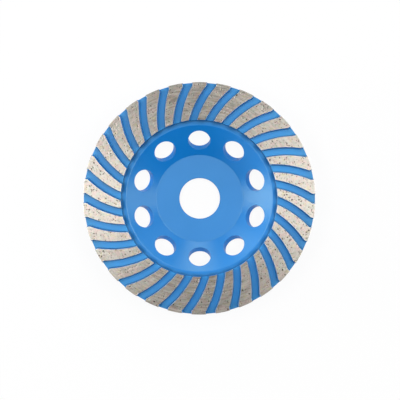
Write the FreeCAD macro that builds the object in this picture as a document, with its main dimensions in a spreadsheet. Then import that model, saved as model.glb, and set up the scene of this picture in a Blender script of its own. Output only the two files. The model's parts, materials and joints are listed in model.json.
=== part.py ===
"""Diamond cup wheel, 125 mm across, for an angle grinder with a 22.23 mm spindle seat.

A pressed and turned steel cup carries a ring of swirling diamond segments. Each segment is
sintered by itself and brazed to the cup's raised seat. The channels between the segments all have
the same width and curve the same way, and they turn straight outwards just before the rim.

Frame: the wheel lies on the back of its hub, with the abrasive up. The origin is the centre of
the bore on the hub's back face, and +Z points towards the abrasive. Lengths are in millimetres
and angles in degrees.
"""

import FreeCAD, Part
import math
import os

import Sketcher

V = FreeCAD.Vector
Constraint = Sketcher.Constraint
ORIGIN = (-1, 1)
X_AXIS = -1
FULL_TURN = 360

# Driving dimensions: name, value, what it is.
SIZES = [
    ("wheel_diameter", 125.0, "outside diameter of the cup and of the segment ring"),
    ("bore_diameter", 22.23, "bore that centres the wheel on the grinder's flange"),
    ("plate_thickness", 4.0, "steel wall of hub, cone and flange"),
    ("cone_width", 15.8, "radial width of the cone inside the cup, from the hub to the land"),
    ("cup_rise", 10.9, "height of the land above the hub's front face"),
    ("land_width", 2.65, "flat land between the cone and the step up to the seat"),
    ("mouth_bend_radius", 2.0, "bend between cone and land"),
    ("seat_height", 1.2, "raised seat of the segments above the land"),
    ("vent_count", 10, "round vents in the middle of the cone"),
    ("vent_diameter", 12.0, "diameter of a vent, square to the cone"),
    ("vent_phase", 18.0, "angle of the first vent"),
    ("ring_width", 20.25, "radial width of the segment ring and of its seat"),
    ("segment_count", 30, "segments in the ring"),
    ("segment_height", 5.0, "height of a segment above its seat"),
    ("channel_width", 4.4, "width of a channel at the top of the segments"),
    ("channel_draft", 4.5, "lean of the channel walls"),
    ("swirl_radius", 52.9, "radius of a channel's centre line"),
    ("swirl_offset", 54.55, "distance of that arc's centre from the wheel's axis"),
    ("swirl_phase", 5.4, "angle of the first arc centre"),
    ("tail_length", 1.6, "radial last stretch of a channel at the rim"),
    ("knuckle_radius", 1.5, "rounding where a channel wall turns radial"),
    ("trim", 1.0, "what is turned off a segment's inner and outer ends"),
]

# Sizes that follow from the driving ones: name, formula, what it is.
DERIVED = [
    ("bore_radius", "bore_diameter / 2", "wall of the bore"),
    ("rim_radius", "wheel_diameter / 2", "outside of the cup and of the segments"),
    ("ring_radius", "rim_radius - ring_width", "inside of the seat and of the segments"),
    ("mouth_radius", "ring_radius - land_width", "where the cone meets the land"),
    ("hub_radius", "mouth_radius - cone_width", "flat of the hub inside the cup, where the nut bears"),
    ("seat_level", "plate_thickness + cup_rise + seat_height", "height of the seat"),
    ("segment_drift", "segment_height * tan(channel_draft * 1 deg)", "lean of a channel wall over its height"),
]


def make_sheet(doc):
    """The spreadsheet that holds the driving dimensions and what follows from them."""
    sheet = doc.addObject("Spreadsheet::Sheet", "Sizes")
    rows = [(name, str(value), meaning) for name, value, meaning in SIZES]
    rows += [(name, f"={formula}", meaning) for name, formula, meaning in DERIVED]
    for row, (name, content, meaning) in enumerate(rows, start=1):
        sheet.set(f"A{row}", name)
        sheet.set(f"B{row}", content)
        sheet.setAlias(f"B{row}", name)
        sheet.set(f"C{row}", meaning)
    doc.recompute()
    return sheet


def origin_feature(body, role):
    """A plane or axis of the body's own origin."""
    return next(feature for feature in body.Origin.OriginFeatures if feature.Role == role)


def add_sketch(body, name, role, placement=None):
    """A sketch on one of the body's origin planes, moved by an expression if one is given."""
    sketch = body.newObject("Sketcher::SketchObject", name)
    sketch.AttachmentSupport = [(origin_feature(body, role), "")]
    sketch.MapMode = "FlatFace"
    if placement:
        sketch.setExpression("AttachmentOffset", placement)
    return sketch


def bind(sketch, name, kind, places, value, expression):
    """Adds a dimension to the sketch under a name and ties it to the sheet."""
    index = sketch.addConstraint(Constraint(kind, *places, value))
    sketch.renameConstraint(index, name)
    sketch.setExpression(f"Constraints.{name}", expression)


def turn_about_z(angle):
    """The text of a rotation about Z, for an expression."""
    return f"create(<<rotation>>; create(<<vector>>; 0; 0; 1); {angle})"


def polar(distance, angle):
    """The point at that distance and angle in radians."""
    return V(distance * math.cos(angle), distance * math.sin(angle))


def bend_shift(sheet):
    """How much further out the cone meets the hub and the flange on the back than on the front."""
    return sheet.plate_thickness * math.tan(math.atan2(sheet.cup_rise, sheet.cone_width) / 2)


def draw_cup_section(body, sheet):
    """The cup's half section: x is the distance from the axis and y the height."""
    plate = sheet.plate_thickness
    bore = sheet.bore_radius
    hub = sheet.hub_radius
    mouth = sheet.mouth_radius
    ring = sheet.ring_radius
    rim = sheet.rim_radius
    rise = sheet.cup_rise
    land = plate + rise
    seat = sheet.seat_level
    shift = bend_shift(sheet)
    corners = [
        V(bore, 0),
        V(hub + shift, 0),
        V(mouth + shift, rise),
        V(rim, rise),
        V(rim, seat),
        V(ring, seat),
        V(ring, land),
        V(mouth, land),
        V(hub, plate),
        V(bore, plate),
    ]
    sketch = add_sketch(body, "cup_section", "XZ_Plane")
    lines = []
    for start, end in zip(corners, corners[1:] + corners[:1]):
        lines.append(sketch.addGeometry(Part.LineSegment(start, end), False))
    for line, following in zip(lines, lines[1:] + lines[:1]):
        sketch.addConstraint(Constraint("Coincident", line, 2, following, 1))
    hub_back, cone_back, flange_back, rim_wall, seat_top = lines[:5]
    step, land_top, cone_front, hub_front, bore_wall = lines[5:]
    for line in (hub_back, flange_back, seat_top, land_top, hub_front):
        sketch.addConstraint(Constraint("Horizontal", line))
    for line in (rim_wall, step, bore_wall):
        sketch.addConstraint(Constraint("Vertical", line))
    sketch.addConstraint(Constraint("Parallel", cone_front, cone_back))
    sketch.addConstraint(Constraint("PointOnObject", hub_back, 1, X_AXIS))
    dimensions = [
        ("bore", "DistanceX", (*ORIGIN, hub_back, 1), bore, "Sizes.bore_radius"),
        ("hub", "DistanceX", (*ORIGIN, hub_front, 1), hub, "Sizes.hub_radius"),
        ("mouth", "DistanceX", (*ORIGIN, cone_front, 1), mouth, "Sizes.mouth_radius"),
        ("ring", "DistanceX", (*ORIGIN, step, 1), ring, "Sizes.ring_radius"),
        ("rim", "DistanceX", (*ORIGIN, rim_wall, 1), rim, "Sizes.rim_radius"),
        ("hub_plate", "DistanceY", (bore_wall, 2, bore_wall, 1), plate, "Sizes.plate_thickness"),
        ("cone_plate", "Distance", (cone_front, 2, cone_back), plate, "Sizes.plate_thickness"),
        ("flange_plate", "DistanceY", (flange_back, 1, land_top, 2), plate, "Sizes.plate_thickness"),
        ("rise", "DistanceY", (cone_front, 2, cone_front, 1), rise, "Sizes.cup_rise"),
        ("seat", "DistanceY", (step, 2, step, 1), seat - land, "Sizes.seat_height"),
    ]
    for dimension in dimensions:
        bind(sketch, *dimension)
    return sketch


def revolve(body, sketch, name):
    """A full turn of the sketch about the body's Z axis."""
    feature = body.newObject("PartDesign::Revolution", name)
    feature.Profile = sketch
    feature.ReferenceAxis = (origin_feature(body, "Z_Axis"), [""])
    feature.Angle = FULL_TURN
    body.Document.recompute()


def ring_edges(shape, radius, height):
    """Names of the circular edges with that radius at that height."""
    tolerance = 1e-4
    found = []
    for number, edge in enumerate(shape.Edges, start=1):
        curve = edge.Curve
        if not isinstance(curve, Part.Circle):
            continue
        if abs(curve.Radius - radius) < tolerance and abs(curve.Center.z - height) < tolerance:
            found.append(f"Edge{number}")
    return found


def round_mouth(body, sheet):
    """The bend of the plate between the cone and the land, inside the cup."""
    base = body.Tip
    edges = ring_edges(base.Shape, sheet.mouth_radius, sheet.plate_thickness + sheet.cup_rise)
    fillet = body.newObject("PartDesign::Fillet", "mouth_bend")
    fillet.Base = (base, edges)
    fillet.setExpression("Radius", "Sizes.mouth_bend_radius")
    body.Document.recompute()


def vent_placement():
    """The text of a vent's placement: in the middle of the cone's front, square to it."""
    middle = "(Sizes.hub_radius + Sizes.mouth_radius) / 2"
    angle = "Sizes.vent_phase * 1 deg"
    height = "Sizes.plate_thickness + Sizes.cup_rise / 2"
    place = f"create(<<vector>>; {middle} * cos({angle}); {middle} * sin({angle}); {height})"
    lean = f"create(<<rotation>>; create(<<vector>>; 0; 1; 0); -atan(Sizes.cup_rise / Sizes.cone_width))"
    return f"create(<<placement>>; {place}; {turn_about_z('Sizes.vent_phase')} * {lean})"


def cut_vents(body, sheet):
    """Round vents in the middle of the cone, drilled square to it."""
    sketch = add_sketch(body, "vent_circle", "XY_Plane", vent_placement())
    circle = sketch.addGeometry(Part.Circle(V(0, 0), V(0, 0, 1), sheet.vent_diameter / 2), False)
    sketch.addConstraint(Constraint("Coincident", circle, 3, *ORIGIN))
    bind(sketch, "vent", "Diameter", (circle,), sheet.vent_diameter, "Sizes.vent_diameter")
    pocket = body.newObject("PartDesign::Pocket", "vent")
    pocket.Profile = sketch
    pocket.SideType = "Symmetric"
    pocket.setExpression("Length", "3 * Sizes.plate_thickness")
    body.Document.recompute()
    pattern = body.newObject("PartDesign::PolarPattern", "vents")
    pattern.Originals = [pocket]
    pattern.Axis = (origin_feature(body, "Z_Axis"), [""])
    pattern.Angle = FULL_TURN
    pattern.setExpression("Occurrences", "Sizes.vent_count")
    body.Tip = pattern
    body.Document.recompute()


def make_cup(doc, sheet):
    """The steel cup: hub, cone, land and raised seat in one piece."""
    body = doc.addObject("PartDesign::Body", "cup_body")
    section = draw_cup_section(body, sheet)
    revolve(body, section, "cup")
    round_mouth(body, sheet)
    cut_vents(body, sheet)
    return body


def crossing(ring_radius, centre_distance, arc_radius):
    """The angle at which an arc about (centre_distance, 0) crosses the ring of that radius."""
    gap = ring_radius**2 + centre_distance**2 - arc_radius**2
    return math.acos(gap / (2 * ring_radius * centre_distance))


def side_points(sheet, radius, turn):
    """One side of a segment, along a channel wall of that radius whose centre lies at the angle turn.
    Returns the wall's inner end, where it joins the knuckle, where the knuckle joins the radial tail,
    the tail's outer end, the sharp corner that the knuckle rounds, and the knuckle's centre."""
    inner = sheet.ring_radius - sheet.trim
    outer = sheet.rim_radius + sheet.trim
    bend = sheet.rim_radius - sheet.tail_length
    knuckle = sheet.knuckle_radius
    centre = V(sheet.swirl_offset, 0)
    outward = polar(1, crossing(bend, sheet.swirl_offset, radius))
    across = V(-outward.y, outward.x)
    reach = centre - across * knuckle
    along = outward.dot(reach)
    tail_start = along + math.sqrt(along**2 - reach.dot(reach) + (radius + knuckle) ** 2)
    knuckle_centre = outward * tail_start + across * knuckle
    join = centre + (knuckle_centre - centre) * (radius / (radius + knuckle))
    inner_end = polar(inner, crossing(inner, sheet.swirl_offset, radius))
    points = (inner_end, join, outward * tail_start, outward * outer, outward * bend, knuckle_centre)
    spin = FreeCAD.Rotation(V(0, 0, 1), math.degrees(turn))
    return [spin.multVec(point) for point in points]


def arc(centre, start, end):
    """An arc drawn anticlockwise about the centre."""
    first = start - centre
    last = end - centre
    circle = Part.Circle(centre, V(0, 0, 1), first.Length)
    return Part.ArcOfCircle(circle, math.atan2(first.y, first.x), math.atan2(last.y, last.x))


def draw_side(sketch, sheet, label, radius, radius_text, turn, rings):
    """Adds one side of a segment to its outline: the channel wall, the knuckle and the radial tail.
    rings are the inner, bend and outer rings, and which end of the inner and outer this side meets.
    Returns the arm from the wheel's axis to the wall's centre."""
    inner_ring, bend_ring, outer_ring, end = rings
    inner_end, join, tail_start, tail_end, corner, knuckle_centre = side_points(sheet, radius, turn)
    centre = polar(sheet.swirl_offset, turn)
    wall = sketch.addGeometry(arc(centre, join, inner_end), False)
    knuckle = sketch.addGeometry(arc(knuckle_centre, join, tail_start), False)
    tail = sketch.addGeometry(Part.LineSegment(tail_start, tail_end), False)
    arm = sketch.addGeometry(Part.LineSegment(V(0, 0), centre), True)
    sharp = sketch.addGeometry(Part.Point(corner), True)
    joins = [
        ("Coincident", wall, 2, inner_ring, end),
        ("Tangent", wall, 1, knuckle, 1),
        ("Tangent", knuckle, 2, tail, 1),
        ("Coincident", tail, 2, outer_ring, end),
        ("Coincident", arm, 1, *ORIGIN),
        ("Coincident", arm, 2, wall, 3),
        ("PointOnObject", sharp, 1, wall),
        ("PointOnObject", sharp, 1, tail),
        ("PointOnObject", sharp, 1, bend_ring),
        ("PointOnObject", *ORIGIN, tail),
    ]
    for join in joins:
        sketch.addConstraint(Constraint(*join))
    dimensions = [
        ("wall", "Radius", (wall,), radius, radius_text),
        ("knuckle", "Radius", (knuckle,), sheet.knuckle_radius, "Sizes.knuckle_radius"),
        ("offset", "Distance", (arm,), sheet.swirl_offset, "Sizes.swirl_offset"),
    ]
    for name, *dimension in dimensions:
        bind(sketch, f"{label}_{name}", *dimension)
    return arm


def draw_segment_outline(body, sheet, name, level):
    """A segment's outline at its foot (level 0) or its top (level 1), before its ends are trimmed.
    The centre of the channel wall on its clockwise side lies on +X, and that of the other wall one
    pitch further round."""
    inner = sheet.ring_radius - sheet.trim
    outer = sheet.rim_radius + sheet.trim
    bend = sheet.rim_radius - sheet.tail_length
    pitch = 2 * math.pi / sheet.segment_count
    half = sheet.channel_width / 2 - (1 - level) * sheet.segment_drift
    half_text = f"(Sizes.channel_width / 2 - {1 - level} * Sizes.segment_drift)"
    near = sheet.swirl_radius + half
    far = sheet.swirl_radius - half
    near_points = side_points(sheet, near, 0)
    far_points = side_points(sheet, far, pitch)
    centre = V(0, 0)
    height = f"{level} * Sizes.segment_height"
    placement = f"create(<<placement>>; create(<<vector>>; 0; 0; {height}); {turn_about_z(0)})"
    sketch = add_sketch(body, name, "XY_Plane", placement)
    inner_ring = sketch.addGeometry(arc(centre, near_points[0], far_points[0]), False)
    outer_ring = sketch.addGeometry(arc(centre, near_points[3], far_points[3]), False)
    bend_ring = sketch.addGeometry(Part.Circle(centre, V(0, 0, 1), bend), True)
    for ring in (inner_ring, outer_ring, bend_ring):
        sketch.addConstraint(Constraint("Coincident", ring, 3, *ORIGIN))
    near_text = f"Sizes.swirl_radius + {half_text}"
    far_text = f"Sizes.swirl_radius - {half_text}"
    near_rings = (inner_ring, bend_ring, outer_ring, 1)
    far_rings = (inner_ring, bend_ring, outer_ring, 2)
    near_arm = draw_side(sketch, sheet, "near", near, near_text, 0, near_rings)
    far_arm = draw_side(sketch, sheet, "far", far, far_text, pitch, far_rings)
    sketch.addConstraint(Constraint("Horizontal", near_arm))
    dimensions = [
        ("inner", "Radius", (inner_ring,), inner, "Sizes.ring_radius - Sizes.trim"),
        ("outer", "Radius", (outer_ring,), outer, "Sizes.rim_radius + Sizes.trim"),
        ("bend", "Radius", (bend_ring,), bend, "Sizes.rim_radius - Sizes.tail_length"),
        ("pitch", "Angle", (near_arm, 1, far_arm, 1), pitch, "360 deg / Sizes.segment_count"),
    ]
    for dimension in dimensions:
        bind(sketch, *dimension)
    return sketch


def draw_box(sketch, sheet, label, start, end, start_text, end_text):
    """Adds a rectangle to the trim section, from radius start to radius end and past both faces."""
    low = -sheet.trim
    high = sheet.segment_height + sheet.trim
    corners = [V(start, low), V(end, low), V(end, high), V(start, high)]
    lines = []
    for first, last in zip(corners, corners[1:] + corners[:1]):
        lines.append(sketch.addGeometry(Part.LineSegment(first, last), False))
    for line, following in zip(lines, lines[1:] + lines[:1]):
        sketch.addConstraint(Constraint("Coincident", line, 2, following, 1))
    bottom, far_side, top, near_side = lines
    for line in (bottom, top):
        sketch.addConstraint(Constraint("Horizontal", line))
    for line in (far_side, near_side):
        sketch.addConstraint(Constraint("Vertical", line))
    dimensions = [
        ("start", "DistanceX", (*ORIGIN, bottom, 1), start, start_text),
        ("end", "DistanceX", (*ORIGIN, bottom, 2), end, end_text),
        ("low", "DistanceY", (bottom, 1, *ORIGIN), -low, "Sizes.trim"),
        ("high", "DistanceY", (*ORIGIN, top, 1), high, "Sizes.segment_height + Sizes.trim"),
    ]
    for name, *dimension in dimensions:
        bind(sketch, f"{label}_{name}", *dimension)


def trim_ends(body, sheet):
    """Turns the segment's inner and outer ends to the ring's two diameters."""
    sketch = add_sketch(body, "trim_section", "XZ_Plane")
    ring = sheet.ring_radius
    rim = sheet.rim_radius
    waste = 2 * sheet.trim
    ring_text = "Sizes.ring_radius"
    rim_text = "Sizes.rim_radius"
    waste_text = "2 * Sizes.trim"
    draw_box(sketch, sheet, "inner", ring - waste, ring, f"{ring_text} - {waste_text}", ring_text)
    draw_box(sketch, sheet, "outer", rim, rim + waste, rim_text, f"{rim_text} + {waste_text}")
    groove = body.newObject("PartDesign::Groove", "turned_ends")
    groove.Profile = sketch
    groove.ReferenceAxis = (origin_feature(body, "Z_Axis"), [""])
    groove.Angle = FULL_TURN


def make_segment(doc, sheet, number):
    """One diamond segment on the seat, wider at its foot by the draft of the channel walls."""
    body = doc.addObject("PartDesign::Body", f"segment_{number:02d}")
    foot = draw_segment_outline(body, sheet, "foot_outline", 0)
    top = draw_segment_outline(body, sheet, "top_outline", 1)
    loft = body.newObject("PartDesign::AdditiveLoft", "abrasive")
    loft.Profile = foot
    loft.Sections = [(top, [""])]
    loft.Ruled = True
    trim_ends(body, sheet)
    turn = turn_about_z(f"Sizes.swirl_phase + {number - 1} * 360 / Sizes.segment_count")
    placement = f"create(<<placement>>; create(<<vector>>; 0; 0; Sizes.seat_level); {turn})"
    body.setExpression("Placement", placement)
    return body


def check(doc, parts):
    """Stops if an object of the document failed or a sub-part has no sound shape."""
    for item in doc.Objects:
        bad = {"Invalid", "Error"} & set(item.State)
        if bad:
            raise RuntimeError(f"{item.Label} is {sorted(bad)}: {item.getStatusString()}")
    for part in parts:
        if part.Shape.isNull() or not part.Shape.isValid() or len(part.Shape.Solids) != 1:
            raise RuntimeError(f"{part.Label} has no sound solid")


def main():
    doc = FreeCAD.newDocument("diamond_cup_wheel")
    sheet = make_sheet(doc)
    parts = [make_cup(doc, sheet)]
    for number in range(1, int(sheet.segment_count) + 1):
        parts.append(make_segment(doc, sheet, number))
    doc.recompute()
    check(doc, parts)
    os.makedirs("parts", exist_ok=True)
    for part in parts:
        part.Shape.exportStep(f"parts/{part.Label}.step")


main()
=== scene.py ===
"""Studio view of a diamond cup wheel, seen from straight above its abrasive side.

The painted cup and each ground segment are rebuilt finer than the solids, at the same sizes, and take
procedural materials. Lengths are in millimetres and become metres when a mesh is made.
"""

import json
import math
import random

import bmesh
import bpy
from mathutils import Matrix, Vector, noise


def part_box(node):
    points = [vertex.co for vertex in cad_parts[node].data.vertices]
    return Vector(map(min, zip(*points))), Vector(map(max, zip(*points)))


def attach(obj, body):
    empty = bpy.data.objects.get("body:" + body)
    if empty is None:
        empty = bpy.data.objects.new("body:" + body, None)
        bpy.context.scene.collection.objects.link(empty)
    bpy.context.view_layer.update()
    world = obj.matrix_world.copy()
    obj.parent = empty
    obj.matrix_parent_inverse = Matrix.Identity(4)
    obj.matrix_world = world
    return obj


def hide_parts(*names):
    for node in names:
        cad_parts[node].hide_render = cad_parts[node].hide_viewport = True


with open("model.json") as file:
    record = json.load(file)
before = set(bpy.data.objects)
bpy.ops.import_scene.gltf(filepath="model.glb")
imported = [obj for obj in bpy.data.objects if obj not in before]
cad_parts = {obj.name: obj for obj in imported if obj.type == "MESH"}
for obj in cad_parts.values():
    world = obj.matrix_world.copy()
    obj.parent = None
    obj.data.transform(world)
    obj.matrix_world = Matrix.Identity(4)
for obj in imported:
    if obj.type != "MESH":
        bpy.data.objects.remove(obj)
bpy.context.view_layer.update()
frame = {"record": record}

MM = 0.001
FULL_TURN = 2 * math.pi

# Sizes of the wheel, the same as the solids'.
PLATE = 4.0
CONE_WIDTH = 15.8
CUP_RISE = 10.9
LAND_WIDTH = 2.65
SEAT_HEIGHT = 1.2
RING_WIDTH = 20.25
VENT_COUNT = 10
VENT_RADIUS = 6.0
VENT_PHASE = math.radians(18)
SEGMENT_COUNT = 30
CHANNEL_WIDTH = 4.4
CHANNEL_DRAFT = math.radians(4.5)
SWIRL_RADIUS = 52.9
SWIRL_OFFSET = 54.55
SWIRL_PHASE = math.radians(5.4)
TAIL_LENGTH = 1.6
KNUCKLE_RADIUS = 1.5

# Small edge breaks and roundings, which the solids leave out or have a little larger.
MOUTH_BEND_RADIUS = 1.2
BORE_CHAMFER = 0.3
BORE_EDGE_RADIUS = 0.08
HUB_BACK_CHAMFER = 1.0
HUB_BACK_EDGE_RADIUS = 0.2
HUB_BEND_RADIUS = 0.8
FLANGE_BACK_RADIUS = 1.5
STEP_RADIUS = 0.25
RIM_EDGE_RADIUS = 0.3
VENT_LIP = 0.12
SEGMENT_LIP = 0.08

# The wear of a segment's top edges follows noise: it changes their rounding by up to this share, its
# places are scaled by this much, and it moves on by this much from segment to segment.
WEAR_SHARE = 0.55
WEAR_SCALE = 1.3
WEAR_SHIFT = 7.7

# Pits in a segment's top, coarse and fine: the range of their count, and the range of their size.
PITS = (((16, 26), (0.30, 0.52)), ((20, 34), (0.14, 0.28)))

# Pits keep this many rows and steps of the top's grid from its outside, and stray this far off the grid.
PIT_ROW_MARGIN = 3
PIT_STEP_MARGIN = 2
PIT_STRAY = 0.15

# A pit's reach and depth, as shares of its size.
PIT_REACH = 1.5
PIT_DEPTH = 0.15

# How often a crystal stands in a pit, how many sides it has, its size as a share of the pit's, and its
# largest tilt in radians.
CRYSTAL_CHANCE = 0.75
CRYSTAL_SIDES = 6
CRYSTAL_IN_PIT = 0.8
CRYSTAL_TILT = 0.5

# As shares of a crystal's size: its girdle's reach, its middle's depth below the top, and its foot's
# depth below its middle. The crown is this share of the girdle.
CRYSTAL_REACH = (0.75, 1.0)
CRYSTAL_SUNK = 0.62
CRYSTAL_FOOT = 0.7
CRYSTAL_CROWN = 0.72

# How far below the segment's top a crystal's girdle, crown and tip stay, in millimetres.
GIRDLE_DROP = 0.04
CROWN_DROP = 0.015
TIP_DROP = 0.005

# The band of the cone that holds the vents reaches this far along the slope, both ways from its middle.
BAND = 7.4

# The angle of the sector of the band that holds one vent.
SECTOR = FULL_TURN / VENT_COUNT

# How finely the cup is divided: over a rounding, round the wheel for one vent, along the band, from the
# edge of a vent's sector to the vent, over its lip, and down its wall.
ROUNDING_STEPS = 6
STEPS_ROUND = 24
STEPS_ALONG = 12
VENT_RINGS = 9
VENT_LIP_STEPS = 4
VENT_WALL_STEPS = 4

# How often a point of a vent's edge is brought closer to the cone.
EDGE_TRIES = 8

# How finely a segment is divided: along its wall, its knuckle and its tail, across, and over its lip.
WALL_STEPS = 64
KNUCKLE_STEPS = 6
TAIL_STEPS = 3
ACROSS_STEPS = 22
SEGMENT_LIP_STEPS = 4

# The shares of its height at which a segment's sides have vertices below the lip.
SIDE_LEVELS = (0, 0.35, 0.7)

# The ring map starts from this angle, near a segment's middle, and moves by up to so many millimetres.
MAP_START = math.radians(60)
MAP_SHIFT = 90

# Vertices that agree to this many decimals of a millimetre are one.
MERGE_DIGITS = 4

# A face of the lathe belongs to the land or the seat down to this many millimetres below it.
LEVEL_TOLERANCE = 0.01

# Faces that meet at less than this angle shade as one smooth surface.
SMOOTH_ANGLE = math.radians(40)

# Which of its materials a face of the cup takes: one blue paint, in lighter and darker copies that paint
# light and shade on the seat, the land and the vent walls.
CUP_FACE = 0
SEAT_FACE = 1
LAND_FACE = 2
WALL_FACE = 3

# Which of its materials a face of a segment takes.
TOP_FACE = 0
SIDE_FACE = 1
GRIT_FACE = 2

# Millimetres before the rim over which painted shade darkens the channels' paint.
RIM_SHADE_REACH = 5.5

# The share of plain white in the floor that the camera sees. The rest is lit and takes the shadow.
FLOOR_WHITE = 0.93

# The lamps' distance from the wheel, the sides of their bright faces and their aim, in metres.
LAMP_DISTANCE = 1.1
LAMP_SIZE = (0.50, 0.32)
LAMP_AIM = Vector((0, 0, 0.015))
LAMP_UP = Vector((0, 0.1, 1))

# The strength of the even white light from all round.
WORLD_STRENGTH = 0.05

# The camera's place, aim and far limit in metres, its roll, and its lens and sensor in millimetres.
CAMERA_PLACE = Vector((0.0156, 0, 0.9211))
CAMERA_AIM = Vector((0.000484, -0.000887, 0.0211))
CAMERA_FAR = 20
CAMERA_ROLL = math.radians(0.2)
CAMERA_LENS = 150.7
CAMERA_SENSOR = 36

bore_mount = next(mount for mount in frame["record"]["mounts"] if mount["name"] == "bore")
high_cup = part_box("cup_body")[1]
high_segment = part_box("segment_01")[1]
BORE = bore_mount["dims"]["r_mm"]
RIM = high_cup[0] / MM
SEAT = high_cup[2] / MM
TOP = high_segment[2] / MM
RING = RIM - RING_WIDTH
MOUTH = RING - LAND_WIDTH
HUB = MOUTH - CONE_WIDTH
LAND = SEAT - SEAT_HEIGHT
SLOPE = math.atan2(CUP_RISE, CONE_WIDTH)
BACK_SHIFT = PLATE * math.tan(SLOPE / 2)


def polar(radius, angle):
    """A point of the plan by its radius and its angle round the axis."""
    return Vector((radius * math.cos(angle), radius * math.sin(angle)))


def at(radius, angle, height):
    """A point by its radius, its angle round the axis and its height."""
    return Vector((radius * math.cos(angle), radius * math.sin(angle), height))


def raised(point, height):
    """A point of the plan, set at a height."""
    return Vector((point.x, point.y, height))


def direction_angle(vector):
    """The angle of a direction in the plan."""
    return math.atan2(vector.y, vector.x)


def spaced(start, end, count):
    """Numbers from start to end, both included, in that count of equal steps."""
    return [start + (end - start) * index / count for index in range(count + 1)]


class Builder:
    """Collects vertices and faces, and joins vertices that fall on the same place."""

    def __init__(self):
        self.vertices = []
        self.faces = []
        self.kinds = []
        self.known = {}

    def vertex(self, point):
        """The index of the vertex at that point, which may be a new one."""
        key = tuple(round(part, MERGE_DIGITS) for part in point)
        if key not in self.known:
            self.known[key] = len(self.vertices)
            self.vertices.append(tuple(point))
        return self.known[key]

    def face(self, points, kind=0):
        """A face through those points, unless fewer than three of them differ."""
        indices = []
        for point in points:
            index = self.vertex(point)
            if index not in indices:
                indices.append(index)
        if len(indices) > 2:
            self.faces.append(indices)
            self.kinds.append(kind)

    def strip(self, first, second, kind, closed):
        """A strip of faces between two rows of points."""
        count = len(first)
        for index in range(count if closed else count - 1):
            following = (index + 1) % count
            self.face([first[index], first[following], second[following], second[index]], kind)

    def strips(self, rows, kind=0, closed=True, flipped=False):
        """Strips of faces from each row of points to the next."""
        for first, second in zip(rows, rows[1:]):
            if flipped:
                first, second = second, first
            self.strip(first, second, kind, closed)


def set_corner_normals(mesh):
    """Keeps flat faces flat: a corner's normal leans to the larger of the faces round it."""
    limit = math.cos(SMOOTH_ANGLE)
    normals = [face.normal.copy() for face in mesh.polygons]
    around = [[] for _ in mesh.vertices]
    for face in mesh.polygons:
        for vertex in face.vertices:
            around[vertex].append(face.index)
    corner_normals = [None] * len(mesh.loops)
    for face in mesh.polygons:
        own = normals[face.index]
        for corner in face.loop_indices:
            total = Vector()
            for other in around[mesh.loops[corner].vertex_index]:
                if own.dot(normals[other]) > limit:
                    total += normals[other] * mesh.polygons[other].area
            corner_normals[corner] = total.normalized()
    mesh.normals_split_custom_set(corner_normals)


def face_outwards(mesh):
    """Turns the faces of a mesh to its outside."""
    shape = bmesh.new()
    shape.from_mesh(mesh)
    bmesh.ops.recalc_face_normals(shape, faces=shape.faces)
    shape.to_mesh(mesh)
    shape.free()
    mesh.update()


def new_object(name, build, materials):
    """A smooth-shaded mesh object from what a builder has collected."""
    mesh = bpy.data.meshes.new(name)
    mesh.from_pydata([Vector(vertex) * MM for vertex in build.vertices], [], build.faces)
    for material in materials:
        mesh.materials.append(material)
    mesh.polygons.foreach_set("material_index", build.kinds)
    mesh.polygons.foreach_set("use_smooth", [True] * len(mesh.polygons))
    face_outwards(mesh)
    set_corner_normals(mesh)
    piece = bpy.data.objects.new(name, mesh)
    bpy.context.scene.collection.objects.link(piece)
    return piece


class Nodes:
    """A new material, and a short way to write its nodes."""

    def __init__(self, name):
        self.material = bpy.data.materials.new(name)
        self.material.use_nodes = True
        self.tree = self.material.node_tree
        self.tree.nodes.clear()

    def add(self, kind, inputs=None, **settings):
        """A node of that kind. Its inputs are values, sockets or nodes, by the socket's name or number."""
        node = self.tree.nodes.new(kind)
        for key, value in settings.items():
            setattr(node, key, value)
        for key, value in (inputs or {}).items():
            self.feed(node.inputs[key], value)
        return node

    def feed(self, socket, value):
        """Links a socket to another socket or to a node's first output, or sets its value."""
        if isinstance(value, bpy.types.NodeSocket):
            self.tree.links.new(value, socket)
        elif isinstance(value, bpy.types.Node):
            self.tree.links.new(value.outputs[0], socket)
        else:
            socket.default_value = value

    def place(self):
        """The point of the surface, in metres."""
        return self.add("ShaderNodeTexCoord").outputs["Object"]

    def math(self, operation, *values):
        """A calculation with numbers."""
        return self.add("ShaderNodeMath", dict(enumerate(values)), operation=operation).outputs[0]

    def vector(self, operation, *values):
        """A calculation with vectors."""
        return self.add("ShaderNodeVectorMath", dict(enumerate(values)), operation=operation)

    def mix(self, factor, first, second, blend="MIX"):
        """Two colours mixed. A mix node has its colours at inputs 6 and 7 and at output 2."""
        inputs = {"Factor": factor, 6: first, 7: second}
        return self.add("ShaderNodeMix", inputs, data_type="RGBA", blend_type=blend).outputs[2]

    def ramp(self, value, *stops):
        """A grey level for a value, from stops of a value and its level."""
        node = self.add("ShaderNodeValToRGB", {"Fac": value})
        for element, (place, level) in zip(node.color_ramp.elements, stops):
            element.position = place
            element.color = colour(level, level, level)
        return node.outputs[0]

    def noise(self, vector, scale, detail, roughness=0.5):
        """A cloudy pattern of numbers. The scale says how many clouds fit in one unit of the vector."""
        inputs = {"Vector": vector, "Scale": scale, "Detail": detail, "Roughness": roughness}
        return self.add("ShaderNodeTexNoise", inputs).outputs["Fac"]

    def finish(self, shader):
        """Puts the shader on the surface, and gives the material."""
        self.add("ShaderNodeOutputMaterial", {"Surface": shader})
        return self.material


def colour(red, green, blue):
    """An opaque colour in linear light."""
    return (red, green, blue, 1.0)


def flattened(nodes, place):
    """A place without its height."""
    return nodes.vector("MULTIPLY", place, (1.0, 1.0, 0.0))


def paint_tint(nodes, cloud, green, blue):
    """A blue between a slightly deeper and a slightly lighter one."""
    deep = colour(0.0, green * 0.95, blue * 0.95)
    light = colour(0.0, green * 1.05, blue * 1.05)
    return nodes.mix(cloud, deep, light)


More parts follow.
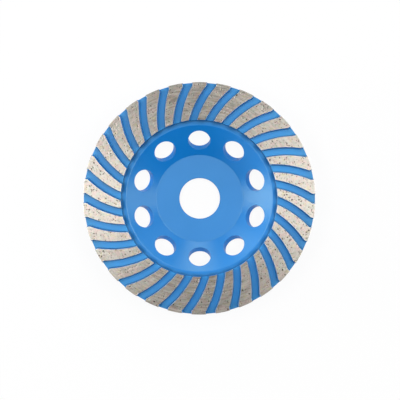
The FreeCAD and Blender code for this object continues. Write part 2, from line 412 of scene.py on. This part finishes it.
def painted_corner_shade(nodes, tint, reach):
    """Painted shade: the tint, darker within that reach of a corner."""
    openness = nodes.add("ShaderNodeAmbientOcclusion", {"Distance": reach}, samples=12).outputs["AO"]
    return nodes.mix(1.0, tint, nodes.ramp(openness, (0.5, 0.45), (0.95, 1.0)), blend="MULTIPLY")


def painted_rim_shade(nodes, tint, place, level):
    """Painted shade: the tint, darkening to that level of itself at the rim."""
    radius = nodes.vector("LENGTH", flattened(nodes, place)).outputs["Value"]
    rim_shade = nodes.add("ShaderNodeMapRange", {
        "Value": radius,
        "From Min": (RIM - RIM_SHADE_REACH) * MM,
        "From Max": RIM * MM,
        "To Min": 1.0,
        "To Max": level,
    })
    return nodes.mix(1.0, tint, rim_shade, blend="MULTIPLY")


def orange_peel(nodes, place):
    """The paint's bumps: soft ones, and fine ones on them."""
    peel = nodes.noise(place, scale=900, detail=2)
    grain = nodes.noise(place, scale=5200, detail=2)
    soft = nodes.add("ShaderNodeBump", {"Strength": 0.12, "Distance": 0.00006, "Height": peel})
    return nodes.add("ShaderNodeBump", {
        "Strength": 0.1,
        "Distance": 0.00002,
        "Height": grain,
        "Normal": soft,
    })


def paint_material(name, green, blue, shade_reach, gloss, rim_shade_level=1.0):
    """Satin blue paint with a faint orange peel, and painted shade within the given reach of a corner, in
    metres.

    Over the last millimetres before the rim, painted shade darkens it to the given rim level of its colour.
    """
    nodes = Nodes(name)
    place = nodes.place()
    cloud = nodes.noise(place, scale=60, detail=3)
    tint = paint_tint(nodes, cloud, green, blue)
    # Painted shade, darker in the corners.
    tint = painted_corner_shade(nodes, tint, shade_reach)
    # Painted shade, darker towards the rim.
    if rim_shade_level < 1:
        tint = painted_rim_shade(nodes, tint, place, rim_shade_level)
    shader = nodes.add("ShaderNodeBsdfPrincipled", {
        "Base Color": tint,
        "Roughness": nodes.math("MULTIPLY_ADD", cloud, 0.06, 0.33),
        "Metallic": 0.0,
        "IOR": 1.5,
        "Specular IOR Level": gloss,
        "Specular Tint": colour(0.78, 1.0, 0.5),
        "Normal": orange_peel(nodes, place),
    })
    return nodes.finish(shader)


def rightward_share(nodes, place):
    """How much the outward direction points right: 1 on the wheel's right side, -1 on its left."""
    outwards = nodes.vector("NORMALIZE", flattened(nodes, place))
    return nodes.add("ShaderNodeSeparateXYZ", {"Vector": outwards}).outputs["X"]


def streak_pattern(nodes):
    """Noise drawn out round the wheel."""
    flat = nodes.add("ShaderNodeUVMap", uv_map="ring").outputs[0]
    drawn_out = nodes.add("ShaderNodeMapping", {"Vector": flat, "Scale": (1.0, 0.09, 1.0)}).outputs[0]
    return nodes.noise(drawn_out, scale=1.1, detail=4, roughness=0.6)


def metal_tint(nodes, place, patches, mottle):
    """Pale metal with pink, green and yellow patches and a brown mottle."""
    pale = colour(0.428, 0.400, 0.362)
    pink = colour(0.475, 0.368, 0.345)
    yellow = colour(0.440, 0.412, 0.285)
    green = colour(0.365, 0.400, 0.325)
    brown = colour(0.26, 0.23, 0.19)
    pink_patches = nodes.noise(place, scale=330, detail=2)
    base = nodes.mix(nodes.ramp(pink_patches, (0.45, 0), (0.6, 0.9)), pale, pink)
    base = nodes.mix(nodes.ramp(patches, (0.54, 0), (0.64, 0.9)), base, green)
    base = nodes.mix(nodes.ramp(patches, (0.36, 0.9), (0.44, 0)), base, yellow)
    return nodes.mix(nodes.ramp(mottle, (0.35, 0.35), (0.5, 0)), base, brown)


def with_streaks(nodes, base, streak, sideways):
    """Dark and pale lines on the metal, faded on the wheel's left and right sides, which paints the
    highlight there.
    """
    # Painted highlight: the lines fade where the wheel's left and right sides are lit.
    lines = nodes.math("MULTIPLY_ADD", sideways, -0.8, 1.0)
    dark_line = nodes.math("MULTIPLY", nodes.ramp(streak, (0.38, 0.65), (0.49, 0)), lines)
    pale_line = nodes.math("MULTIPLY", nodes.ramp(streak, (0.51, 0), (0.62, 0.6)), lines)
    base = nodes.mix(dark_line, base, colour(0.22, 0.195, 0.17))
    return nodes.mix(pale_line, base, colour(0.56, 0.53, 0.48))


def speck_cells(nodes, place):
    """Cells with slightly ragged edges, one for each possible speck."""
    ripple_inputs = {"Vector": place, "Scale": 1500.0, "Detail": 2.0}
    ripple = nodes.add("ShaderNodeTexNoise", ripple_inputs).outputs["Color"]
    ripple = nodes.vector("SUBTRACT", ripple, (0.5, 0.5, 0.5))
    ripple = nodes.add("ShaderNodeVectorMath", {0: ripple, "Scale": 0.0014}, operation="SCALE")
    spot = nodes.vector("ADD", place, ripple)
    return nodes.add("ShaderNodeTexVoronoi", {"Vector": spot, "Scale": 780.0, "Randomness": 1.0})


def with_specks(nodes, base, place, patches, rightwards, sideways):
    """Dark specks on the metal, more of them in some patches, on the wheel's left and most on its right."""
    cells = speck_cells(nodes, place)
    dot = nodes.ramp(cells.outputs["Distance"], (0.25, 0.95), (0.38, 0))
    pick = nodes.add("ShaderNodeSeparateColor", {"Color": cells.outputs["Color"]}).outputs[0]
    pick = nodes.math("MULTIPLY_ADD", sideways, 0.34, pick)
    pick = nodes.math("MULTIPLY_ADD", rightwards, 0.08, pick)
    pick = nodes.math("ADD", patches, pick)
    lowered = nodes.math("SUBTRACT", pick, 0.6)
    chosen = nodes.ramp(lowered, (0.84, 0), (0.88, 1))
    return nodes.mix(nodes.math("MULTIPLY", dot, chosen), base, colour(0.04, 0.025, 0.02))


def with_worn_and_highlit_edges(nodes, base, sideways):
    """Paler worn metal on the rounded edges, with a painted highlight that makes them palest on the wheel's
    left and right sides.
    """
    edge = nodes.add("ShaderNodeAttribute", attribute_name="edge").outputs["Fac"]
    # Painted highlight on the edges, strongest on the left and right sides.
    bright = nodes.math("MULTIPLY", edge, nodes.math("MULTIPLY_ADD", sideways, 0.35, 0.1))
    return nodes.mix(bright, base, colour(0.66, 0.64, 0.6))


def ground_material():
    """Sintered metal ground flat: pale, with dark specks, tints and streaks round the wheel, and painted
    highlight on the wheel's left and right sides.
    """
    nodes = Nodes("ground_segment")
    place = nodes.place()
    rightwards = rightward_share(nodes, place)
    sideways = nodes.math("MULTIPLY", rightwards, rightwards)
    patches = nodes.noise(place, scale=520, detail=2)
    mottle = nodes.noise(place, scale=900, detail=3, roughness=0.6)
    streak = streak_pattern(nodes)
    base = metal_tint(nodes, place, patches, mottle)
    base = with_streaks(nodes, base, streak, sideways)
    base = with_specks(nodes, base, place, patches, rightwards, sideways)
    base = with_worn_and_highlit_edges(nodes, base, sideways)
    height = nodes.math("ADD", nodes.math("MULTIPLY", streak, 0.6), nodes.math("MULTIPLY", mottle, 0.4))
    shader = nodes.add("ShaderNodeBsdfPrincipled", {
        "Base Color": base,
        "Roughness": nodes.math("MULTIPLY_ADD", streak, 0.12, 0.34),
        "Metallic": 0.88,
        "Anisotropic": 0.6,
        "Tangent": nodes.add("ShaderNodeTangent", direction_type="UV_MAP", uv_map="ring"),
        "Normal": nodes.add("ShaderNodeBump", {"Strength": 0.3, "Distance": 0.00004, "Height": height}),
    })
    return nodes.finish(shader)


def grit_material():
    """Diamond crystals: dull brown-grey grains."""
    nodes = Nodes("diamond_grit")
    vary = nodes.noise(nodes.place(), scale=700, detail=1)
    dark = colour(0.03, 0.02, 0.014)
    light = colour(0.11, 0.085, 0.055)
    tint = nodes.mix(nodes.ramp(vary, (0.4, 0), (0.6, 1)), dark, light)
    shader = nodes.add("ShaderNodeBsdfPrincipled", {"Base Color": tint, "Roughness": 0.55, "IOR": 1.5})
    return nodes.finish(shader)


def floor_material():
    """A pale floor that the camera sees as white, with the wheel's soft shadow."""
    nodes = Nodes("pale_floor")
    rays = nodes.add("ShaderNodeLightPath")
    seen = nodes.math("MAXIMUM", rays.outputs["Is Camera Ray"], rays.outputs["Is Glossy Ray"])
    seen = nodes.math("MAXIMUM", seen, rays.outputs["Is Transmission Ray"])
    share = nodes.math("MULTIPLY", seen, FLOOR_WHITE)
    matte = nodes.add("ShaderNodeBsdfDiffuse", {"Color": colour(0.85, 0.85, 0.85)})
    white = nodes.add("ShaderNodeEmission", {"Color": colour(1, 1, 1), "Strength": 1.0})
    return nodes.finish(nodes.add("ShaderNodeMixShader", {0: share, 1: matte, 2: white}))


def round_corner(before, corner, after, radius):
    """Points of an arc of that radius that rounds the corner of a section."""
    towards_before = (before - corner).normalized()
    towards_after = (after - corner).normalized()
    half = towards_before.angle(towards_after) / 2
    middle = (towards_before + towards_after).normalized()
    centre = corner + middle * (radius / math.sin(half))
    start = corner + towards_before * (radius / math.tan(half)) - centre
    end = corner + towards_after * (radius / math.tan(half)) - centre
    turn = math.atan2(start.cross(end), start.dot(end))
    return [centre + Matrix.Rotation(angle, 2) @ start for angle in spaced(0, turn, ROUNDING_STEPS)]


def section_points(corners):
    """A section from (x, z, rounding radius) corners, with each rounding as an arc."""
    points = []
    places = [Vector((x, z)) for x, z, _ in corners]
    for index, (_, _, radius) in enumerate(corners):
        if radius:
            points += round_corner(places[index - 1], places[index], places[index + 1], radius)
        else:
            points.append(places[index])
    return points


def cone_point(side, along, angle):
    """A point of the cone's front (side 0) or back (side 1), by its way up from the slope's middle."""
    middle = (HUB + MOUTH) / 2
    radius = middle + along * math.cos(SLOPE) + side * PLATE * math.sin(SLOPE)
    height = PLATE + CUP_RISE / 2 + along * math.sin(SLOPE) - side * PLATE * math.cos(SLOPE)
    return at(radius, angle, height)


def cone_height(side, point):
    """The height of the cone's front or back at the place of a point."""
    middle = cone_point(side, 0, 0)
    return middle.z + (point.xy.length - middle.x) * math.tan(SLOPE)


def vent_axis(turn):
    """The direction of a vent's axis, square to the cone."""
    return at(-math.sin(SLOPE), turn, math.cos(SLOPE))


def vent_edge_point(side, distance, round_angle, turn):
    """The point of the cone's front or back that lies at that distance from a vent's axis."""
    along = at(math.cos(SLOPE), turn, math.sin(SLOPE))
    across = at(1, turn + math.pi / 2, 0)
    axis = vent_axis(turn)
    start = cone_point(side, 0, turn)
    start += along * distance * math.cos(round_angle) + across * distance * math.sin(round_angle)
    depth = 0.0
    for _ in range(EDGE_TRIES):
        point = start + axis * depth
        depth -= (point.z - cone_height(side, point)) * math.cos(SLOPE)
    return start + axis * depth


def sector_outline(side, turn):
    """The edge of one vent's sector of the band, with each point's angle round the vent."""
    half = SECTOR / 2
    places = [(BAND, angle) for angle in spaced(-half, half, STEPS_ROUND)[:-1]]
    places += [(along, half) for along in spaced(BAND, -BAND, STEPS_ALONG)[:-1]]
    places += [(-BAND, angle) for angle in spaced(half, -half, STEPS_ROUND)[:-1]]
    places += [(along, -half) for along in spaced(-BAND, BAND, STEPS_ALONG)[:-1]]
    middle = cone_point(side, 0, 0).x
    outline = []
    for along, angle in places:
        outline.append((cone_point(side, along, turn + angle), math.atan2(middle * angle, along)))
    return outline


def vent_lip_rows(side, edge, turn):
    """Rows of points that round the edge of a vent into its wall."""
    centre = cone_point(side, 0, turn)
    axis = vent_axis(turn)
    inwards = axis if side else -axis
    rows = []
    for bend in spaced(0, math.pi / 2, VENT_LIP_STEPS)[1:]:
        row = []
        for point in edge:
            away = point - centre
            away -= axis * away.dot(axis)
            away.normalize()
            sunk = inwards * VENT_LIP * (1 - math.cos(bend))
            row.append(point - away * VENT_LIP * math.sin(bend) + sunk)
        rows.append(row)
    return rows


def vent_side_rows(side, turn):
    """Rows of points from the edge of a vent's sector to the vent, and over its lip."""
    outline = sector_outline(side, turn)
    outside = [point for point, _ in outline]
    edge = [vent_edge_point(side, VENT_RADIUS + VENT_LIP, angle, turn) for _, angle in outline]
    rows = [outside]
    for share in spaced(0, 1, VENT_RINGS)[1:-1]:
        row = []
        for far, near in zip(outside, edge):
            point = far.lerp(near, share)
            row.append(raised(point, cone_height(side, point)))
        rows.append(row)
    return rows + [edge] + vent_lip_rows(side, edge, turn)


def add_vent(build, turn):
    """One sector of the cone with its vent: front, rounded lips, wall and back."""
    front = vent_side_rows(0, turn)
    back = vent_side_rows(1, turn)
    wall = []
    for share in spaced(0, 1, VENT_WALL_STEPS):
        wall.append([near.lerp(far, share) for near, far in zip(front[-1], back[-1])])
    build.strips(front, CUP_FACE)
    build.strips(back, CUP_FACE, flipped=True)
    build.strips(wall, WALL_FACE)


def lathe(build, points):
    """Sweeps the section's points once round the axis. The seat's and the land's flats are kept apart, for
    their lighter and darker copies of the paint.
    """
    start = VENT_PHASE - SECTOR / 2
    angles = spaced(start, start + FULL_TURN, VENT_COUNT * STEPS_ROUND)[:-1]
    rows = [[at(point.x, angle, point.y) for angle in angles] for point in points]
    for first, second in zip(rows, rows[1:]):
        lowest = min(first[0].z, second[0].z)
        kind = CUP_FACE
        if lowest > SEAT - LEVEL_TOLERANCE:
            kind = SEAT_FACE
        elif lowest > LAND - LEVEL_TOLERANCE:
            kind = LAND_FACE
        build.strip(first, second, kind, closed=True)


def inner_section():
    """Corners from the band's inner edge over the hub, down the bore and back under the hub."""
    hub_back = HUB + BACK_SHIFT
    front = cone_point(0, -BAND, 0)
    back = cone_point(1, -BAND, 0)
    up_the_cone = polar(HUB_BACK_CHAMFER, SLOPE)
    return [
        (front.x, front.z, 0),
        (HUB, PLATE, HUB_BEND_RADIUS),
        (BORE + BORE_CHAMFER, PLATE, BORE_EDGE_RADIUS),
        (BORE, PLATE - BORE_CHAMFER, BORE_EDGE_RADIUS),
        (BORE, BORE_CHAMFER, BORE_EDGE_RADIUS),
        (BORE + BORE_CHAMFER, 0, BORE_EDGE_RADIUS),
        (hub_back - HUB_BACK_CHAMFER, 0, HUB_BACK_EDGE_RADIUS),
        (hub_back + up_the_cone.x, up_the_cone.y, HUB_BACK_EDGE_RADIUS),
        (back.x, back.z, 0),
    ]


def outer_section():
    """Corners from the band's outer edge under the flange, up the rim and back over seat and land."""
    front = cone_point(0, BAND, 0)
    back = cone_point(1, BAND, 0)
    return [
        (back.x, back.z, 0),
        (MOUTH + BACK_SHIFT, CUP_RISE, FLANGE_BACK_RADIUS),
        (RIM, CUP_RISE, RIM_EDGE_RADIUS),
        (RIM, SEAT, RIM_EDGE_RADIUS),
        (RING, SEAT, STEP_RADIUS),
        (RING, LAND, STEP_RADIUS),
        (MOUTH, LAND, MOUTH_BEND_RADIUS),
        (front.x, front.z, 0),
    ]


def make_cup(materials):
    """The painted cup: turned inside and outside the band of the vents, and the band vent by vent."""
    build = Builder()
    for corners in (inner_section(), outer_section()):
        lathe(build, section_points(corners))
    for number in range(VENT_COUNT):
        add_vent(build, VENT_PHASE + number * SECTOR)
    return new_object("cup", build, materials)


def crossing(ring_radius, arc_radius):
    """The angle at which an arc about (SWIRL_OFFSET, 0) crosses the ring of that radius."""
    gap = ring_radius**2 + SWIRL_OFFSET**2 - arc_radius**2
    return math.acos(gap / (2 * ring_radius * SWIRL_OFFSET))


def side_path(wall_radius, turn, inner, outer):
    """One side of a segment from the ring's inside to its rim: the wall, the knuckle and the tail."""
    centre = Vector((SWIRL_OFFSET, 0))
    outward = polar(1, crossing(RIM - TAIL_LENGTH, wall_radius))
    across = Vector((-outward.y, outward.x))
    reach = centre - across * KNUCKLE_RADIUS
    along = outward.dot(reach)
    tail_start = along + math.sqrt(along**2 - reach.dot(reach) + (wall_radius + KNUCKLE_RADIUS) ** 2)
    knuckle = outward * tail_start + across * KNUCKLE_RADIUS
    join = (knuckle - centre).normalized()
    wall_start = direction_angle(polar(inner, crossing(inner, wall_radius)) - centre)
    wall_end = direction_angle(join)
    knuckle_start = direction_angle(-join)
    knuckle_end = direction_angle(-across)
    if knuckle_end < knuckle_start:
        knuckle_end += FULL_TURN
    points = [centre + polar(1, angle) * wall_radius for angle in spaced(wall_start, wall_end, WALL_STEPS)]
    for angle in spaced(knuckle_start, knuckle_end, KNUCKLE_STEPS)[1:]:
        points.append(knuckle + polar(1, angle) * KNUCKLE_RADIUS)
    for distance in spaced(tail_start, outer, TAIL_STEPS)[1:]:
        points.append(outward * distance)
    spin = Matrix.Rotation(turn, 2)
    return [spin @ point for point in points]


def segment_rows(height_share, inset):
    """The plan of a segment at a share of its height, drawn in by inset: rows from side to side."""
    drop = (1 - height_share) * (TOP - SEAT) * math.tan(CHANNEL_DRAFT)
    half = CHANNEL_WIDTH / 2 - drop + inset
    near = side_path(SWIRL_RADIUS + half, 0, RING + inset, RIM - inset)
    far = side_path(SWIRL_RADIUS - half, FULL_TURN / SEGMENT_COUNT, RING + inset, RIM - inset)
    rows = []
    for first, last in zip(near, far):
        radii = spaced(first.length, last.length, ACROSS_STEPS)
        angles = spaced(direction_angle(first), direction_angle(last), ACROSS_STEPS)
        rows.append([polar(radius, angle) for radius, angle in zip(radii, angles)])
    return rows


def edge_loop(rows):
    """The outside of a plan, once round anticlockwise."""
    near = [row[0] for row in rows]
    far = [row[-1] for row in rows]
    return near + rows[-1][1:-1] + far[::-1] + rows[0][1:-1][::-1]


def side_loops(spin):
    """Loops round a segment's sides at the levels from its foot up to its lip."""
    loops = []
    for share in SIDE_LEVELS:
        height = SEAT + share * (TOP - SEAT)
        loops.append([raised(spin @ point, height) for point in edge_loop(segment_rows(share, 0))])
    return loops


def worn_lip(point, number):
    """How far down the rounding of a segment's top edge reaches at that point of its plan."""
    wear = noise.noise(Vector((point.x * WEAR_SCALE, point.y * WEAR_SCALE, number * WEAR_SHIFT)))
    return SEGMENT_LIP * (1 + WEAR_SHARE * wear)


def lip_loops(spin, number, top_rows):
    """Loops over a segment's rounded top edge."""
    plain = edge_loop(segment_rows(1, 0))
    drawn_in = edge_loop(top_rows)
    loops = []
    for bend in spaced(0, math.pi / 2, SEGMENT_LIP_STEPS):
        loop = []
        for outside, inside in zip(plain, drawn_in):
            point = outside.lerp(inside, 1 - math.cos(bend))
            drop = worn_lip(outside, number) * (1 - math.sin(bend))
            loop.append(raised(spin @ point, TOP - drop))
        loops.append(loop)
    return loops


def pit_places(rows, generator, count, sizes):
    """Places on a segment's top for pits, with a size for each."""
    places = []
    for _ in range(count):
        row = rows[generator.randrange(PIT_ROW_MARGIN, len(rows) - PIT_ROW_MARGIN)]
        spot = row[generator.randrange(PIT_STEP_MARGIN, len(row) - PIT_STEP_MARGIN)]
        stray_x = generator.uniform(-PIT_STRAY, PIT_STRAY)
        stray_y = generator.uniform(-PIT_STRAY, PIT_STRAY)
        places.append((spot + Vector((stray_x, stray_y)), generator.uniform(*sizes)))
    return places


def pit_depth(point, pits):
    """How deep the pits are at a point of the top."""
    depth = 0.0
    for centre, size in pits:
        distance = (point - centre).length
        reach = size * PIT_REACH
        if distance < reach:
            depth = max(depth, size * PIT_DEPTH * (1 - (distance / reach) ** 2))
    return depth


def top_grid(spin, rows, pits):
    """A segment's top as rows of points, sunk in the pits but not along its outside."""
    grid = []
    for index, row in enumerate(rows):
        points = []
        for step, point in enumerate(row):
            inside = 0 < index < len(rows) - 1 and 0 < step < ACROSS_STEPS
            depth = pit_depth(point, pits) if inside else 0
            points.append(raised(spin @ point, TOP - depth))
        grid.append(points)
    return grid


def make_crystal(build, place, size, generator):
    """A small faceted crystal, sunk in the segment's top and ground level with it."""
    spin = Matrix.Rotation(generator.uniform(0, FULL_TURN), 3, "Z")
    spin = spin @ Matrix.Rotation(generator.uniform(-CRYSTAL_TILT, CRYSTAL_TILT), 3, "X")
    centre = raised(place, TOP - size * CRYSTAL_SUNK)
    girdle = []
    for angle in spaced(0, FULL_TURN, CRYSTAL_SIDES)[:-1]:
        reach = size * generator.uniform(*CRYSTAL_REACH)
        point = centre + spin @ at(reach, angle, 0)
        point.z = min(point.z, TOP - GIRDLE_DROP)
        girdle.append(point)
    crown = [raised(centre.lerp(point, CRYSTAL_CROWN), TOP - CROWN_DROP) for point in girdle]
    tip = raised(centre, TOP - TIP_DROP)
    foot = raised(centre, centre.z - size * CRYSTAL_FOOT)
    for index in range(CRYSTAL_SIDES):
        following = (index + 1) % CRYSTAL_SIDES
        build.face([girdle[index], girdle[following], crown[following], crown[index]], GRIT_FACE)
        build.face([crown[index], crown[following], tip], GRIT_FACE)
        build.face([girdle[following], girdle[index], foot], GRIT_FACE)


def mark_edges(piece, lips):
    """Marks the vertices of the rounded edges, for the ground metal's paler worn edges and their painted
    highlight.
    """
    edge = piece.data.attributes.new("edge", "FLOAT", "POINT")
    edge.data.foreach_set("value", [float(index in lips) for index in range(len(piece.data.vertices))])


def add_ring_map(piece, turn, generator):
    """A flat map in millimetres: u outwards and v round the wheel, shifted for each segment."""
    mesh = piece.data
    layer = mesh.uv_layers.new(name="ring")
    shift = Vector((generator.uniform(0, MAP_SHIFT), generator.uniform(0, MAP_SHIFT)))
    spin = Matrix.Rotation(-(turn + MAP_START), 2)
    for loop in mesh.loops:
        point = spin @ (mesh.vertices[loop.vertex_index].co.xy / MM)
        layer.data[loop.index].uv = Vector((point.length, direction_angle(point) * RIM)) + shift


def make_segment(number, materials):
    """A segment with rounded and slightly worn top edges, and grit and pits in its ground top."""
    generator = random.Random(number)
    turn = SWIRL_PHASE + number * FULL_TURN / SEGMENT_COUNT
    spin = Matrix.Rotation(turn, 2)
    top_rows = segment_rows(1, SEGMENT_LIP)
    pits = []
    for counts, pit_sizes in PITS:
        pits += pit_places(top_rows, generator, generator.randrange(*counts), pit_sizes)
    lips = lip_loops(spin, number, top_rows)
    sides = side_loops(spin) + lips[:1]
    build = Builder()
    build.strips(sides, SIDE_FACE)
    build.strips(lips, TOP_FACE)
    build.face(sides[0][::-1], SIDE_FACE)
    build.strips(top_grid(spin, top_rows, pits), TOP_FACE, closed=False, flipped=True)
    for place, size in pits:
        if generator.random() < CRYSTAL_CHANCE:
            make_crystal(build, spin @ place, size * CRYSTAL_IN_PIT, generator)
    piece = new_object(f"ground_segment_{number + 1:02d}", build, materials)
    mark_edges(piece, {build.vertex(point) for loop in lips for point in loop})
    add_ring_map(piece, turn, generator)
    return piece


def make_floor():
    """A pale round floor with a low far wall, so that a level view has a pale background too."""
    reach = 6000.0
    wall_height = 1000.0
    sides = 64
    angles = spaced(0, FULL_TURN, sides)[:-1]
    foot = [at(reach, angle, 0) for angle in angles]
    head = [at(reach, angle, wall_height) for angle in angles]
    build = Builder()
    build.face(foot)
    build.strips([foot, head])
    floor = new_object("floor", build, [floor_material()])
    floor.data.polygons.foreach_set("use_smooth", [False] * len(floor.data.polygons))


def look_at(thing, target, up):
    """Turns a camera or lamp to look at the target, with that side up."""
    forward = (target - thing.location).normalized()
    right = forward.cross(up).normalized()
    top = right.cross(forward)
    thing.rotation_euler = Matrix((right, top, -forward)).transposed().to_euler()


def make_camera():
    """The photograph's view: from above, a little to the right of the axis."""
    camera = bpy.data.objects.new("camera", bpy.data.cameras.new("camera"))
    bpy.context.scene.collection.objects.link(camera)
    camera.location = CAMERA_PLACE
    look_at(camera, CAMERA_AIM, Vector((math.sin(CAMERA_ROLL), math.cos(CAMERA_ROLL), 0)))
    camera.data.sensor_width = CAMERA_SENSOR
    camera.data.lens = CAMERA_LENS
    camera.data.clip_end = CAMERA_FAR
    bpy.context.scene.camera = camera


def add_lamp(name, azimuth, elevation, power):
    """A soft lamp aimed at the wheel, by its direction in degrees."""
    lamp = bpy.data.lights.new(name, "AREA")
    lamp.shape = "RECTANGLE"
    lamp.size, lamp.size_y = LAMP_SIZE
    lamp.energy = power
    item = bpy.data.objects.new(name, lamp)
    bpy.context.scene.collection.objects.link(item)
    flat = math.cos(math.radians(elevation))
    place = at(flat, math.radians(azimuth), math.sin(math.radians(elevation)))
    item.location = place * LAMP_DISTANCE
    item.visible_camera = False
    look_at(item, LAMP_AIM, LAMP_UP)


def make_lights():
    """Soft lamps low on the left, higher on the right and behind, four high ones, and a faint world."""
    add_lamp("left_lamp", azimuth=180, elevation=12, power=5.9)
    add_lamp("left_back_lamp", azimuth=135, elevation=12, power=2.7)
    add_lamp("left_front_lamp", azimuth=225, elevation=12, power=0.75)
    add_lamp("right_lamp", azimuth=0, elevation=28, power=1.6)
    add_lamp("right_back_lamp", azimuth=45, elevation=28, power=0.65)
    add_lamp("back_lamp", azimuth=90, elevation=28, power=2.2)
    add_lamp("high_right_lamp", azimuth=0, elevation=65, power=3.8)
    add_lamp("high_right_back_lamp", azimuth=45, elevation=65, power=2.0)
    add_lamp("high_left_back_lamp", azimuth=135, elevation=65, power=1.0)
    add_lamp("high_left_lamp", azimuth=180, elevation=65, power=4.3)
    world = bpy.data.worlds.new("studio")
    world.use_nodes = True
    background = world.node_tree.nodes["Background"]
    background.inputs["Color"].default_value = colour(1, 1, 1)
    background.inputs["Strength"].default_value = WORLD_STRENGTH
    bpy.context.scene.world = world


def cup_materials():
    """The cup's blue paint on the cone and hub, and copies of it that paint light and shade: lighter in the
    channels, lighter and less glossy on the vents' walls, darker and less glossy on the land.
    """
    return [
        paint_material("blue_paint", green=0.204, blue=0.625, shade_reach=0.0025, gloss=1.0),
        # Painted light: the channels take a lighter copy of the paint.
        paint_material(
            "channel_paint_painted_light", green=0.264, blue=0.690, shade_reach=0.0006, gloss=1.0, rim_shade_level=0.8,
        ),
        # Painted shade: the land takes a darker, less glossy copy of the paint.
        paint_material("land_paint_painted_shade", green=0.203, blue=0.600, shade_reach=0.0025, gloss=0.65),
        # Painted light: the vents' walls take a lighter, less glossy copy of the paint.
        paint_material("vent_wall_paint_painted_light", green=0.218, blue=0.660, shade_reach=0.001, gloss=0.28),
    ]


def segment_materials():
    """A segment's ground top, its painted sides in a lighter copy of the blue paint that paints light, and
    its crystals.
    """
    return [
        ground_material(),
        # Painted light: the sides take a lighter copy of the cup's paint.
        paint_material("segment_side_paint_painted_light", green=0.230, blue=0.655, shade_reach=0.0006, gloss=1.0),
        grit_material(),
    ]


def main():
    """Makes every piece of the wheel, and the floor, camera and lamps of its studio."""
    cup = make_cup(cup_materials())
    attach(cup, "root")
    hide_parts("cup_body")
    materials = segment_materials()
    for number in range(SEGMENT_COUNT):
        segment = make_segment(number, materials)
        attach(segment, "root")
        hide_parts(f"segment_{number + 1:02d}")
    make_floor()
    make_camera()
    make_lights()
    bpy.context.scene.view_settings.view_transform = "Standard"


main()
